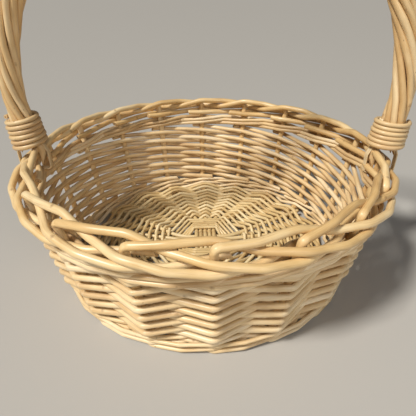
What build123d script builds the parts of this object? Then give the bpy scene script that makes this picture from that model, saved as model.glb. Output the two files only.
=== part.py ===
from build123d import *
import math
import os

# A round willow basket with a roped hoop handle. Millimetres, +Z up. The origin is on the
# floor at the centre of the base, and the handle stands in the XZ plane.

# Overall sizes
BASKET_HEIGHT = 140.0  # floor to the top of the border
RIM_RADIUS = 200.0  # axis to the outermost lashing on the border
BASE_RADIUS = 158.0  # axis to the stakes where they turn up
HANDLE_LEG = 50.0  # rise of the handle's straight legs above the border

# Rods
STAKE_DIAMETER = 7.0  # side stakes, which also form the border
SIDE_WEAVER_DIAMETER = 5.0
BASE_STICK_DIAMETER = 5.2
BASE_WEAVER_DIAMETER = 4.0
FOOT_WALE_DIAMETER = 5.0
UPPER_WALE_DIAMETER = 4.4
ROPE_ROD_DIAMETER = 6.2
BINDING_DIAMETER = 4.4
LASHING_WIDTH = 5.0
LASHING_THICKNESS = 1.5

# Counts
PIERCED_STICKS = 5
THREADED_STICKS = 4
STAKE_COUNT = 2 * (PIERCED_STICKS + THREADED_STICKS)
WALE_RODS = 3
SLATH_ROUNDS = 5
ROPE_RODS = 8
ROPE_EIGHTH_TURNS = -24  # how far the rope twists from the right foot to the left one
BINDING_TURNS = 6

# Clearances between rods that lie side by side
GAP = 0.1
BASE_GAP = 0.35
STICK_GAP = 0.3
BASE_ROW_GAP = 0.6
ROW_GAP = 0.5
BORDER_GAP = 0.35
ROPE_ROD_GAP = 0.113 * ROPE_ROD_DIAMETER
BINDING_GAP = 0.5
LASHING_GAP = 0.2

# Base
BASE_PLANE = 8.6  # height of the base sticks' centre lines
STICK_PITCH = BASE_STICK_DIAMETER + STICK_GAP
STICK_END = BASE_RADIUS - 11.0
FAN_START = 32.0  # where the sticks leave their bundles
PIERCED_BULGE_LENGTH = 38.0
PIERCED_BULGE_HEIGHT = 10.7
SLIT_HEIGHT = BASE_STICK_DIAMETER + STICK_GAP
SLIT_LENGTH = THREADED_STICKS * STICK_PITCH + 0.4
SLATH_START = 21.5
SLATH_CORNER = 3.3
BASE_WEAVE_START = 53.0
BASE_WEAVE_END = BASE_RADIUS - 15.0
BASE_ROW_PITCH = BASE_WEAVER_DIAMETER + BASE_ROW_GAP

# Stakes
STAKE_STEP = 360.0 / STAKE_COUNT
STAKE_BEND = 8.5
STAKE_TAIL_START = BASE_RADIUS - 26.0
STAKE_BESIDE_STICK = (STAKE_DIAMETER + BASE_STICK_DIAMETER) / 2 + 2.0
STICK_LAG = math.degrees(math.asin(STAKE_BESIDE_STICK / STAKE_TAIL_START))
FIRST_STAKE = STAKE_STEP / 2  # the handle stands midway between two stakes

# Foot wale: how high its strokes lie where they pass inside the bend of a stake
FOOT_WALE_INNER = BASE_PLANE + STAKE_BEND - 1.6
FOOT_WALE_BEND = 14.0

# Border: the lanes that each stake takes as it is laid down along the rim. Each line has the
# number of stakes passed, then the lane out from the stakes and the lane up, in rod widths.
LANE = STAKE_DIAMETER + BORDER_GAP
BORDER_LANES = (
    (0.00, 0.00, 0.00),
    (0.50, -0.44, 0.05),
    (1.00, -1.09, -0.38),
    (1.50, -0.48, -1.17),
    (2.00, 1.09, -1.33),
    (2.50, 1.47, -1.84),
    (3.00, 1.16, -2.38),
    (3.50, 0.00, -2.45),
    (4.00, -1.55, -2.20),
    (4.25, -1.60, -2.15),
)
BORDER_KINK = 5.0
BORDER_BEND = 30.0
BORDER_OUTER_LANE = max(lane[1] for lane in BORDER_LANES)
BORDER_LOWEST_LANE = min(lane[2] for lane in BORDER_LANES)
BORDER_AXIS = BASKET_HEIGHT - STAKE_DIAMETER / 2 - 0.05 * LANE
BORDER_STAKE_RADIUS = (
    RIM_RADIUS - BORDER_OUTER_LANE * LANE - STAKE_DIAMETER / 2 - LASHING_THICKNESS - LASHING_GAP
)
BORDER_BOTTOM = BORDER_AXIS + BORDER_LOWEST_LANE * LANE - STAKE_DIAMETER / 2

# Side weave
SIDE_START = FOOT_WALE_INNER + (FOOT_WALE_DIAMETER + SIDE_WEAVER_DIAMETER) / 2
SIDE_BEND = 12.0
SIDE_STRAIGHT_BEND = 60.0
SIDE_END_REACH = 0.25  # how far the butt and the tip run on past a stake, in steps
UPPER_WALE_BEND = 20.0
OUTSIDE_DROP = 4.0  # how far the strokes outside hang below an even climb
LASHING_SLOT = LASHING_THICKNESS + 0.9  # room under the border for the handle's lashing
UPPER_WALE_CENTRE = BORDER_BOTTOM - LASHING_SLOT - 1.1 * UPPER_WALE_DIAMETER
UPPER_WALE_LIFT = 0.56 * UPPER_WALE_DIAMETER
SIDE_TOP = (
    UPPER_WALE_CENTRE
    - UPPER_WALE_LIFT
    - (SIDE_WEAVER_DIAMETER + UPPER_WALE_DIAMETER) / 2
    - 3 * GAP
)
SIDE_ROWS = int((SIDE_TOP - SIDE_START) / (SIDE_WEAVER_DIAMETER + ROW_GAP))
SIDE_ROW_PITCH = (SIDE_TOP - SIDE_START) / SIDE_ROWS

# Handle
ROPE_RING = (ROPE_ROD_DIAMETER + ROPE_ROD_GAP) / 2 / math.sin(math.pi / ROPE_RODS)
CORE_DIAMETER = 2 * (ROPE_RING - ROPE_ROD_DIAMETER / 2 - ROPE_ROD_GAP)
ROPE_RADIUS = ROPE_RING + ROPE_ROD_DIAMETER / 2
HANDLE_FOOT = BASKET_HEIGHT + 0.6
HANDLE_FOOT_X = BORDER_STAKE_RADIUS
HANDLE_LEAN = 5.0
LEG_STEPS = 3
HANDLE_STATION_ANGLE = 7.5
CORE_BEND = 100.0
ROPE_BEND = 45.0
LASHING_RING = ROPE_RADIUS + LASHING_GAP + LASHING_THICKNESS / 2
LASHING_BEND = 3.0
LASHING_INSET = 4.0  # how far the strand steps in to clear the border
BINDING_RING = LASHING_RING + (LASHING_THICKNESS + BINDING_DIAMETER) / 2 + LASHING_GAP
BINDING_PITCH = BINDING_DIAMETER + BINDING_GAP
BINDING_STEPS = 8  # corners in a turn of the binding


def polar(angle, radius, height):
    """The point at this angle round the basket, in degrees, this far out and this high."""
    turn = math.radians(angle)
    return Vector(radius * math.cos(turn), radius * math.sin(turn), height)


def stake_angle(stake):
    return FIRST_STAKE + STAKE_STEP * stake


def stake_radius(height):
    """How far out the stakes stand at this height: the side flares evenly to the border."""
    flare = (BORDER_STAKE_RADIUS - BASE_RADIUS) / (BORDER_AXIS - BASE_PLANE)
    return BASE_RADIUS + flare * (height - BASE_PLANE)


def willow_rod(points, radii, diameter):
    """A round rod along straight runs joined by tangent arcs."""
    with BuildPart() as rod:
        with BuildLine() as route:
            FilletPolyline(*points, radius=radii)
        path = route.wire()
        with BuildSketch(Plane(origin=path @ 0, z_dir=path % 0)):
            Circle(diameter / 2)
        sweep()
    return rod.part


def save(name, part):
    part.label = name
    export_step(part, f"parts/{name}.step")


def stick_line(direction, offset, end_angle):
    """Centre line of half a base stick, from the middle out to its end."""
    along = polar(direction, 1, 0)
    across = polar(direction + 90, 1, 0)
    height = Vector(0, 0, BASE_PLANE)
    fan = along * FAN_START + across * offset + height
    return fan, polar(end_angle, STICK_END, BASE_PLANE)


def stick_offsets(count):
    return [(index - (count - 1) / 2) * STICK_PITCH for index in range(count)]


def stick_ends(direction, count):
    """Each stick of a bundle that leaves the middle in this direction: its fan and its end."""
    ends = []
    for index, offset in enumerate(stick_offsets(count)):
        end_angle = direction - STICK_LAG + (index - (count - 1) / 2) * STAKE_STEP
        ends.append(stick_line(direction, offset, end_angle))
    return ends


def rays():
    """The fan and the end of every stick, anticlockwise from the first stake's own stick."""
    found = []
    for direction in (0, 90, 180, 270):
        count = THREADED_STICKS if direction % 180 == 0 else PIERCED_STICKS
        found.extend(stick_ends(direction, count))
    return found


def ray_angle(ray, radius):
    """The angle at which a fanned stick crosses this radius."""
    fan, end = ray
    run = end - fan
    a = run.X**2 + run.Y**2
    b = fan.X * run.X + fan.Y * run.Y
    c = fan.X**2 + fan.Y**2 - radius**2
    share = (-b + math.sqrt(b * b - a * c)) / a
    crossing = fan + run * share
    return math.degrees(math.atan2(crossing.Y, crossing.X))


def make_pierced_sticks():
    """Sticks that run front to back, each swollen and slit in the middle."""
    back = stick_ends(90, PIERCED_STICKS)
    front = stick_ends(270, PIERCED_STICKS)
    sticks = []
    for index, offset in enumerate(stick_offsets(PIERCED_STICKS)):
        back_fan, back_end = back[PIERCED_STICKS - 1 - index]
        front_fan, front_end = front[index]
        with BuildPart() as stick:
            with BuildLine() as route:
                FilletPolyline(back_end, back_fan, front_fan, front_end, radius=FAN_START / 2)
            path = route.wire()
            with BuildSketch(Plane(origin=path @ 0, z_dir=path % 0)):
                Circle(BASE_STICK_DIAMETER / 2)
            sweep()
            with BuildSketch(Plane.YZ.offset(offset)):
                with Locations((0, BASE_PLANE)):
                    Ellipse(PIERCED_BULGE_LENGTH / 2, PIERCED_BULGE_HEIGHT / 2)
            extrude(amount=BASE_STICK_DIAMETER / 2, both=True)
            with Locations((offset, 0, BASE_PLANE)):
                Box(2 * STICK_PITCH, SLIT_LENGTH, SLIT_HEIGHT, mode=Mode.SUBTRACT)
        sticks.append(stick.part)
    save("base_pierced_sticks", Compound(children=sticks))


def make_threaded_sticks():
    """Sticks that run side to side through the slits of the pierced ones."""
    right = stick_ends(0, THREADED_STICKS)
    left = stick_ends(180, THREADED_STICKS)
    sticks = []
    for index in range(THREADED_STICKS):
        right_fan, right_end = right[index]
        left_fan, left_end = left[THREADED_STICKS - 1 - index]
        points = (right_end, right_fan, left_fan, left_end)
        sticks.append(willow_rod(points, FAN_START / 2, BASE_STICK_DIAMETER))
    save("base_threaded_sticks", Compound(children=sticks))


def make_slath_tie():
    """The rod that binds the cross: over the pierced bundle and under the threaded one."""
    lift = (BASE_STICK_DIAMETER + BASE_WEAVER_DIAMETER) / 2 + BASE_GAP
    points = []
    for quarter in range(4 * SLATH_ROUNDS):
        direction = 90 * quarter
        over_pierced = quarter % 2 == 1
        count = PIERCED_STICKS if over_pierced else THREADED_STICKS
        height = BASE_PLANE + (lift if over_pierced else -lift)
        distance = SLATH_START + quarter * BASE_ROW_PITCH / 4
        fan, end = stick_ends(direction, count)[-1]
        across = polar(direction + 90, 1, 0)
        spread = (end - fan).dot(across) / (end - fan).dot(polar(direction, 1, 0))
        half_width = stick_offsets(count)[-1] + max(0.0, distance - FAN_START) * spread
        reach = half_width + SLATH_CORNER
        for side in (-reach, reach):
            points.append(polar(direction, distance, height) + across * side)
    radii = [SLATH_CORNER] * (len(points) - 2)
    save("base_slath_tie", willow_rod(points, radii, BASE_WEAVER_DIAMETER))


def crest(clear, spacing):
    """Height of a weave's corner so that its straight runs clear sticks this far apart."""
    return clear * spacing / math.sqrt(spacing**2 - 4 * clear**2)


def make_base_weaver(name, first_ray):
    """One of the two rods that chase each other round the base, over one stick, under one."""
    sticks = rays()
    clear_stick = (BASE_STICK_DIAMETER + BASE_WEAVER_DIAMETER) / 2 + BASE_GAP
    clear_stake = (STAKE_DIAMETER + BASE_WEAVER_DIAMETER) / 2 + GAP
    turns = (BASE_WEAVE_END - BASE_WEAVE_START) / (2 * BASE_ROW_PITCH)
    points = []
    radii = []
    for step in range(int(turns * STAKE_COUNT)):
        radius = BASE_WEAVE_START + 2 * BASE_ROW_PITCH * step / STAKE_COUNT
        ray = (first_ray + step) % STAKE_COUNT
        side = 1 if step % 2 == 0 else -1
        here, before, after = (
            ray_angle(sticks[(ray + shift) % STAKE_COUNT], radius) for shift in (0, -1, 1)
        )
        gaps = ((here - before) % 360, (after - here) % 360)
        spacing = radius * math.radians(min(gaps))
        lift = crest(clear_stick, spacing)
        if radius > STAKE_TAIL_START - BASE_WEAVER_DIAMETER:
            lift = clear_stake + STICK_GAP
            points.append(polar(here, radius, BASE_PLANE + side * lift))
            points.append(polar(stake_angle(ray - 2), radius, BASE_PLANE + side * lift))
            radii.extend((clear_stick, clear_stick))
        else:
            points.append(polar(here, radius, BASE_PLANE + side * lift))
            radii.append(clear_stick)
    save(name, willow_rod(points, radii[1:-1], BASE_WEAVER_DIAMETER))


def make_stake(name, stake):
    """A stake: a tail in the base, the upright, a kink, and its run along the border."""
    points = [
        polar(stake_angle(stake), STAKE_TAIL_START, BASE_PLANE),
        polar(stake_angle(stake), BASE_RADIUS, BASE_PLANE),
    ]
    for passed, out, up in BORDER_LANES:
        radius = BORDER_STAKE_RADIUS + out * LANE
        points.append(polar(stake_angle(stake + passed), radius, BORDER_AXIS + up * LANE))
    radii = [STAKE_BEND, BORDER_KINK] + [BORDER_BEND] * (len(BORDER_LANES) - 2)
    save(name, willow_rod(points, radii, STAKE_DIAMETER))


def make_side_weaver(name, stake):
    """A side rod, one for each stake: it starts inside and climbs one row at each stake."""
    clear = (STAKE_DIAMETER + SIDE_WEAVER_DIAMETER) / 2 + GAP
    points = []
    radii = []
    for row in range(-1, SIDE_ROWS + 2):
        inside = row % 2 == 0
        height = SIDE_START + SIDE_ROW_PITCH * row
        if row > 0 and not inside:
            height -= OUTSIDE_DROP
        reach = stake_radius(height) + (-clear - 0.3 if inside else clear + 1.4)
        points.append(polar(stake_angle(stake + row), reach, height))
        radii.append(SIDE_STRAIGHT_BEND if inside else SIDE_BEND)
    butt = points[1] + (points[0] - points[1]) * SIDE_END_REACH
    tip = points[-2] + (points[-1] - points[-2]) * SIDE_END_REACH
    points[0] = butt
    points[-1] = tip
    save(name, willow_rod(points, radii[1:-1], SIDE_WEAVER_DIAMETER))


def wale_points(start, strokes):
    """Corners of a rod of a three-rod wale: before two stakes, behind one. Each stroke has the
    number of stakes passed, how far out from the axis it lies there, and its height."""
    points = []
    for stake in range(0, STAKE_COUNT, WALE_RODS):
        for passed, radius, height in strokes:
            points.append(polar(stake_angle(start + stake + passed), radius, height))
    return points


def make_foot_wale():
    """The wale round the bottom corner, outside the turned-up stakes and inside the bend."""
    half = FOOT_WALE_DIAMETER / 2
    outer = BASE_RADIUS + STAKE_DIAMETER / 2 + half - 0.7
    strokes = (
        (0.0, outer - 1.0, half + 0.1),
        (0.5, outer + 0.8, 1.1 * FOOT_WALE_DIAMETER),
        (1.0, outer, 1.7 * FOOT_WALE_DIAMETER),
        (1.5, BASE_RADIUS + 0.5, 2.6 * FOOT_WALE_DIAMETER),
        (2.0, BASE_RADIUS - STAKE_BEND + 0.9, FOOT_WALE_INNER),
        (2.5, BASE_RADIUS - 8.0, 1.6 * FOOT_WALE_DIAMETER),
    )
    for rod in range(WALE_RODS):
        points = wale_points(rod, strokes)
        radii = [FOOT_WALE_BEND] * (len(points) - 2)
        save(f"foot_wale_rod_{rod + 1}", willow_rod(points, radii, FOOT_WALE_DIAMETER))


def make_upper_wale():
    """The wale under the border."""
    clear = (STAKE_DIAMETER + UPPER_WALE_DIAMETER) / 2 + GAP
    middle = stake_radius(UPPER_WALE_CENTRE)
    low = UPPER_WALE_CENTRE - UPPER_WALE_LIFT
    high = UPPER_WALE_CENTRE + UPPER_WALE_LIFT
    strokes = (
        (0.0, middle + clear + 0.6, low),
        (0.5, middle + clear + 1.4, UPPER_WALE_CENTRE),
        (1.0, middle + clear + 1.2, high),
        (1.5, middle, high),
        (2.0, middle - clear - 0.2, UPPER_WALE_CENTRE),
        (2.5, middle, low),
    )
    for rod in range(WALE_RODS):
        points = wale_points(rod, strokes)
        radii = [UPPER_WALE_BEND] * (len(points) - 2)
        save(f"upper_wale_rod_{rod + 1}", willow_rod(points, radii, UPPER_WALE_DIAMETER))


def handle_stations():
    """Centre line of the handle from the right foot over the top to the left foot, each point
    with the direction that points away from the inside of the hoop."""
    shoulder_x = HANDLE_FOOT_X + HANDLE_LEAN
    shoulder = HANDLE_FOOT + HANDLE_LEG
    lean = math.atan2(HANDLE_LEAN, HANDLE_LEG)
    outward = Vector(math.cos(lean), 0, -math.sin(lean))
    foot = Vector(HANDLE_FOOT_X, 0, HANDLE_FOOT)
    top = Vector(shoulder_x, 0, shoulder)
    right = [(foot + (top - foot) * (step / LEG_STEPS), outward) for step in range(LEG_STEPS)]
    arch = []
    for step in range(int(180 / HANDLE_STATION_ANGLE) + 1):
        turn = math.radians(HANDLE_STATION_ANGLE * step)
        outward = Vector(math.cos(turn), 0, math.sin(turn))
        arch.append((outward * shoulder_x + Vector(0, 0, shoulder), outward))
    left = [(Vector(-p.X, 0, p.Z), Vector(-n.X, 0, n.Z)) for p, n in reversed(right)]
    return right + arch + left


def make_handle_core():
    stations = [point for point, outward in handle_stations()]
    points = [stations[0]] + stations[LEG_STEPS:-LEG_STEPS] + [stations[-1]]
    radii = [CORE_BEND] * (len(points) - 2)
    save("handle_core", willow_rod(points, radii, CORE_DIAMETER))


def foot_points(rope_point, outward, place):
    """Where a rope rod goes below the binding: the two outermost down outside the border,
    the two innermost down inside it, and the rest cut off on top of it."""
    if place in (0, ROPE_RODS - 1):
        return [rope_point + Vector(0, 0, -LANE)]
    if place in (ROPE_RODS // 2 - 1, ROPE_RODS // 2):
        inner = BORDER_STAKE_RADIUS - (STAKE_DIAMETER + ROPE_ROD_DIAMETER) / 2 - 0.6 * LANE
        side = math.copysign(inner, outward.X)
        return [
            Vector(side, rope_point.Y, HANDLE_FOOT - LANE),
            Vector(side, rope_point.Y, BORDER_BOTTOM),
        ]
    return []


def make_rope_rod(name, rod):
    """One of the rods twisted round the core."""
    stations = handle_stations()
    travelled = [0.0]
    for (here, _), (there, _) in zip(stations, stations[1:]):
        travelled.append(travelled[-1] + (there - here).length)
    points = []
    for (centre, outward), distance in zip(stations, travelled):
        twist = ROPE_EIGHTH_TURNS * distance / travelled[-1]
        turn = math.radians(360 / ROPE_RODS * (rod + 0.5 + twist))
        points.append(
            centre
            + outward * (ROPE_RING * math.cos(turn))
            + Vector(0, 1, 0) * (ROPE_RING * math.sin(turn))
        )
    right_feet = foot_points(points[0], stations[0][1], rod)
    left_feet = foot_points(points[-1], stations[-1][1], (rod + ROPE_EIGHTH_TURNS) % ROPE_RODS)
    points = list(reversed(right_feet)) + points + left_feet
    radii = [ROPE_BEND] * (len(points) - 2)
    save(name, willow_rod(points, radii, ROPE_ROD_DIAMETER))


def make_binding(name, side):
    """The coil that binds the foot of the handle. Side is 1 on the right, -1 on the left."""
    stations = handle_stations()
    foot, outward = stations[0]
    up = (stations[1][0] - foot).normalized()
    across = Vector(0, 1, 0)
    corner = BINDING_RING / math.cos(math.pi / BINDING_STEPS)
    points = []
    for step in range(BINDING_STEPS * BINDING_TURNS + 1):
        turn = 2 * math.pi * step / BINDING_STEPS
        climb = BINDING_DIAMETER / 2 + BINDING_PITCH * step / BINDING_STEPS
        point = (
            foot
            + up * climb
            + outward * (corner * math.cos(turn))
            + across * (corner * math.sin(turn))
        )
        points.append(Vector(side * point.X, side * point.Y, point.Z))
    radii = [0.97 * BINDING_RING] * (len(points) - 2)
    save(name, willow_rod(points, radii, BINDING_DIAMETER))


def make_lashing(name, side):
    """A flat split strand: down inside the border, under it, and up outside."""
    stations = handle_stations()
    foot, outward = stations[0]
    up = (stations[1][0] - foot).normalized()
    height = BINDING_TURNS * BINDING_PITCH
    under = BORDER_BOTTOM - LASHING_SLOT / 2
    inner = (foot - outward * LASHING_RING).X
    outer = RIM_RADIUS - LASHING_THICKNESS / 2
    points = (
        foot - outward * LASHING_RING + up * height,
        foot - outward * LASHING_RING,
        Vector(inner - LASHING_INSET, 0, HANDLE_FOOT - LANE),
        Vector(inner - LASHING_INSET, 0, under),
        Vector(outer, 0, under),
        Vector(outer, 0, HANDLE_FOOT - LANE),
        foot + outward * LASHING_RING,
        foot + outward * LASHING_RING + up * height,
    )
    points = [Vector(side * point.X, 0, point.Z) for point in points]
    with BuildPart() as strand:
        with BuildLine() as route:
            FilletPolyline(*points, radius=LASHING_BEND)
        path = route.wire()
        with BuildSketch(Plane(origin=path @ 0, x_dir=(0, 1, 0), z_dir=path % 0)):
            Rectangle(LASHING_WIDTH, LASHING_THICKNESS)
        sweep()
    save(name, strand.part)


os.makedirs("parts", exist_ok=True)
make_pierced_sticks()
make_threaded_sticks()
make_slath_tie()
make_base_weaver("base_weaver_1", 0)
make_base_weaver("base_weaver_2", STAKE_COUNT // 2)
make_foot_wale()
make_upper_wale()
for number in range(STAKE_COUNT):
    make_stake(f"stake_{number + 1:02d}", number)
    make_side_weaver(f"side_weaver_{number + 1:02d}", number)
make_handle_core()
for number in range(ROPE_RODS):
    make_rope_rod(f"handle_rope_rod_{number + 1}", number)
for side_name, side in (("right", 1), ("left", -1)):
    make_binding(f"handle_binding_{side_name}", side)
    make_lashing(f"handle_lashing_{side_name}", side)
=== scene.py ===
import math
import random

import bpy
import numpy as np
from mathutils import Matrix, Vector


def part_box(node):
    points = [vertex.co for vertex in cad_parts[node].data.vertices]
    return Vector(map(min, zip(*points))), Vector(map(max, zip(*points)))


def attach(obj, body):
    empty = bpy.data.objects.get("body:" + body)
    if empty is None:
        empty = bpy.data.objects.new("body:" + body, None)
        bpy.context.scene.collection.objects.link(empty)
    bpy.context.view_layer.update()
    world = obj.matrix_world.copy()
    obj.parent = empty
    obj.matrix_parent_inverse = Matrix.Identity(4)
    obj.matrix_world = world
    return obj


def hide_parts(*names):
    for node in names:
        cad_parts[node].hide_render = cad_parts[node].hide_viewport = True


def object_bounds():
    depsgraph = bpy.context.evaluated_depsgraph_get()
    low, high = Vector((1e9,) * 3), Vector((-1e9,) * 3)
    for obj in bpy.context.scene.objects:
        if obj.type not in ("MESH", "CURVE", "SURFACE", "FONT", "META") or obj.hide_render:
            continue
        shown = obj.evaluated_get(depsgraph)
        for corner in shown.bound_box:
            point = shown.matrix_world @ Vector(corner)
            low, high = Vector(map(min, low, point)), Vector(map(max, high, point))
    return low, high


# A round willow basket with a roped hoop handle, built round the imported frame. Metres, +Z up.
# Every rod of the frame is replaced by a tapered one with knots, cut ends and its own tone.

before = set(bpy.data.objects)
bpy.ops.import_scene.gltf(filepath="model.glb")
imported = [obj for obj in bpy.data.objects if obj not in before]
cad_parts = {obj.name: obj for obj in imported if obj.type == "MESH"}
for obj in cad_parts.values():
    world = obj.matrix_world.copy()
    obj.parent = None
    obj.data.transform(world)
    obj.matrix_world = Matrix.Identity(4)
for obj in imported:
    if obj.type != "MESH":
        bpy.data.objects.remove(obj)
cad_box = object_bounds()
node_names = sorted(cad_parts)


def nodes_called(start):
    return [name for name in node_names if name.startswith(start)]


def lowest(name):
    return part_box(name)[0].z


def highest(name):
    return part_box(name)[1].z


stake_names = nodes_called("stake_")
side_names = nodes_called("side_weaver_")
rope_names = nodes_called("handle_rope_rod_")

# Sizes read from the frame
STAKE_COUNT = len(stake_names)
RIM_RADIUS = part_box("handle_lashing_right")[1].x
RIM_TOP = max(highest(name) for name in stake_names)
HANDLE_TOP = cad_box[1][2]
BASE_PLANE = (lowest("base_threaded_sticks") + highest("base_threaded_sticks")) / 2
STICK = highest("base_threaded_sticks") - lowest("base_threaded_sticks")
STAKE = 2 * (BASE_PLANE - lowest("stake_01"))
BASE_RADIUS = 0.79 * RIM_RADIUS

# Rod thicknesses. Those shown fill the gaps that the frame leaves between its rods.
SIDE_ROD = 0.0050
SIDE_ROD_SHOWN = 0.0057
BASE_ROD = 0.0040
BASE_ROD_SHOWN = 0.0043
FOOT_ROD_SHOWN = 0.0042  # thinner than in the frame, because each goes round twice
UPPER_ROD = 0.0044
UPPER_ROD_SHOWN = 0.0048
ROPE_ROD = 0.0062
ROPE_ROD_SHOWN = 0.0063
BINDING_ROD = 0.0044
STRAND_WIDTH = 0.0074
STRAND_THICKNESS = 0.0015

# Clearances
BORDER_GAP = 0.00035
STICK_GAP = 0.0003
BASE_ROW_GAP = 0.0006
ROW_GAP = 0.0005
STRAND_GAP = 0.0002
STRAND_ROOM = 0.0009  # what a strand needs beside its thickness, under the border

STAKE_STEP = math.tau / STAKE_COUNT
FIRST_STAKE = STAKE_STEP / 2
LANE = STAKE + BORDER_GAP

# The way of each stake along the rim: stakes passed, lanes out and lanes up.
BORDER_LANES = (
    (0.00, 0.00, -0.70),
    (0.50, -0.44, -0.10),
    (1.00, -1.07, 0.08),
    (1.50, -0.50, -1.15),
    (2.00, 1.09, -1.33),
    (2.50, 1.47, -1.84),
    (3.00, 1.16, -2.38),
    (3.50, 0.00, -2.45),
    (4.00, -1.55, -2.20),
    (4.25, -1.60, -2.15),
)
OUTER_LANE = max(out for passed, out, up in BORDER_LANES)
LOWEST_LANE = min(up for passed, out, up in BORDER_LANES)
AXIS_DROP = 0.05  # how far the border's axis lies below the frame's highest rod, in lanes
BORDER_AXIS = RIM_TOP - STAKE / 2 - AXIS_DROP * LANE
BORDER_RADIUS = RIM_RADIUS - OUTER_LANE * LANE - STAKE / 2 - STRAND_THICKNESS - STRAND_GAP
BORDER_BOTTOM = BORDER_AXIS + LOWEST_LANE * LANE - STAKE / 2

chance = random.Random(18)


# ---------------------------------------------------------------- lines in space

# The greatest distance between two points of a line
LINE_STEP = 0.0028
FINE_STEP = 0.0020
BASE_LINE_STEP = 0.0025
STAKE_LINE_STEP = 0.0025
HANDLE_LINE_STEP = 0.0030

ARC_STEP = 7  # degrees of a rounded corner between two of its points
RUN_SHARE = 0.5  # how much of a run one of its corners may take
END_SHARE = 0.7  # the same, beside either end of the line
LEAST_RUN = 1e-5
LEAST_TRIM = 1e-6

# How far each kind of rod strays from its line, and over what length
PIERCED_STRAY = 0.00015
THREADED_STRAY = 0.0001
STAKE_STRAY = 0.0003
SIDE_STRAY = 0.00018
WALE_STRAY = 0.00015
CORE_STRAY = 0.0002
ROPE_STRAY = 0.0003
STRAY_LENGTH = 0.09


def polar(angle, radius, height):
    """A point at this angle round the basket's axis."""
    return np.array((radius * math.cos(angle), radius * math.sin(angle), height))


def unit(vector):
    return vector / np.linalg.norm(vector)


def rounded_line(corners, bends, step=LINE_STEP):
    """Points along the straight runs between corners, with each corner rounded off."""
    corners = [np.asarray(corner, float) for corner in corners]
    points = [corners[0]]
    for here, (before, corner, after) in enumerate(zip(corners, corners[1:], corners[2:])):
        into = corner - before
        out = after - corner
        turn = math.acos(max(-1.0, min(1.0, float(unit(into) @ unit(out)))))
        share = RUN_SHARE if 0 < here < len(corners) - 3 else END_SHARE
        trim = min(
            bends[here] * math.tan(turn / 2),
            share * np.linalg.norm(into),
            share * np.linalg.norm(out),
        )
        if trim < LEAST_TRIM:
            add_run(points, corner, step)
            continue
        start = corner - unit(into) * trim
        end = corner + unit(out) * trim
        add_run(points, start, step)
        pieces = max(2, math.ceil(math.degrees(turn) / ARC_STEP), math.ceil(2 * trim / step))
        for piece in range(1, pieces + 1):
            t = piece / pieces
            points.append((1 - t) ** 2 * start + 2 * t * (1 - t) * corner + t * t * end)
    add_run(points, corners[-1], step)
    return np.array(points)


def add_run(points, end, step):
    """Adds points from the last one to this end, at most a step apart."""
    start = points[-1]
    length = np.linalg.norm(end - start)
    if length < LEAST_RUN:
        return
    pieces = math.ceil(length / step)
    for piece in range(1, pieces + 1):
        points.append(start + (end - start) * piece / pieces)


def wander(line, amount):
    """Lets a line stray a little, as a rod that grew does."""
    travelled = distances(line)
    strayed = line.copy()
    for axis in range(3):
        for octave in (1.0, 2.3):
            phase = chance.uniform(0, math.tau)
            wave = np.sin(travelled * math.tau * octave / STRAY_LENGTH + phase)
            strayed[:, axis] += wave * amount / octave * 0.6
    return strayed


def distances(line):
    """How far along the line each of its points lies."""
    steps = np.linalg.norm(np.diff(line, axis=0), axis=1)
    return np.concatenate(([0.0], np.cumsum(steps)))


def directions(line):
    """The tangent at each point, and two directions across it that don't twist along it."""
    tangents = np.gradient(line, axis=0)
    tangents /= np.linalg.norm(tangents, axis=1)[:, None]
    aside = np.array((0.0, 0.0, 1.0))
    if abs(tangents[0][2]) > 0.9:
        aside = np.array((1.0, 0.0, 0.0))
    across = np.zeros_like(line)
    for index, tangent in enumerate(tangents):
        aside = unit(aside - tangent * (aside @ tangent))
        across[index] = aside
    return tangents, across, np.cross(tangents, across)


# ---------------------------------------------------------------- rods

SWELL = 0.014
SWELL_LENGTH = 0.07
OVAL = 0.02
GRAIN_SPREAD = 50  # keeps the grain of one rod away from that of another
KNOT_LENGTH = 0.0028
KNOT_BREADTH = 0.75  # in radians round the rod
KNOT_RING = 0.035
CRUSH_START = 0.16
CUT_REACH = 2.5  # how far back a skewed cut draws the rod, in depths of the cut
EDGE_WEAR = 0.0003


def varied(thick, travelled):
    """Lets a thickness swell and shrink a little along the rod."""
    for octave in (1.0, 2.7):
        phase = chance.uniform(0, math.tau)
        wave = np.sin(travelled * math.tau * octave / SWELL_LENGTH + phase)
        thick = thick * (1 + SWELL * wave)
    return thick


def bending(tangents, travelled, thick):
    """How hard a rod bends at each point, from 0 to 1, and which way."""
    curve = np.gradient(tangents, axis=0)
    curve /= np.maximum(np.gradient(travelled), 1e-6)[:, None]
    sharpness = np.linalg.norm(curve, axis=1)
    bend = np.clip(sharpness * thick / 2, 0, 1)
    return bend, curve / np.maximum(sharpness, 1e-9)[:, None]


def crushed(radius, bend, inward):
    """Flattens a rod where it bends hard, and lets it spread sideways there."""
    crush = np.clip((bend - CRUSH_START) * 1.5, 0, 0.5)[:, None]
    radius *= 1 - crush * np.where(inward > 0, 0.34, 0.30) * inward**2
    radius *= 1 + 0.08 * crush * (1 - inward**2)
    return radius


def knot_spots(length):
    """Where the buds grew: how far along, which way they face, and how proud they are."""
    spots = []
    place = chance.uniform(0.01, 0.09)
    facing = chance.uniform(0, math.tau)
    while place < length - 0.01:
        spots.append((place, facing % math.tau, chance.uniform(0.0001, 0.0005)))
        place += chance.uniform(0.05, 0.13)
        facing += 2.4 + chance.uniform(-0.5, 0.5)
    return spots


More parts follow.
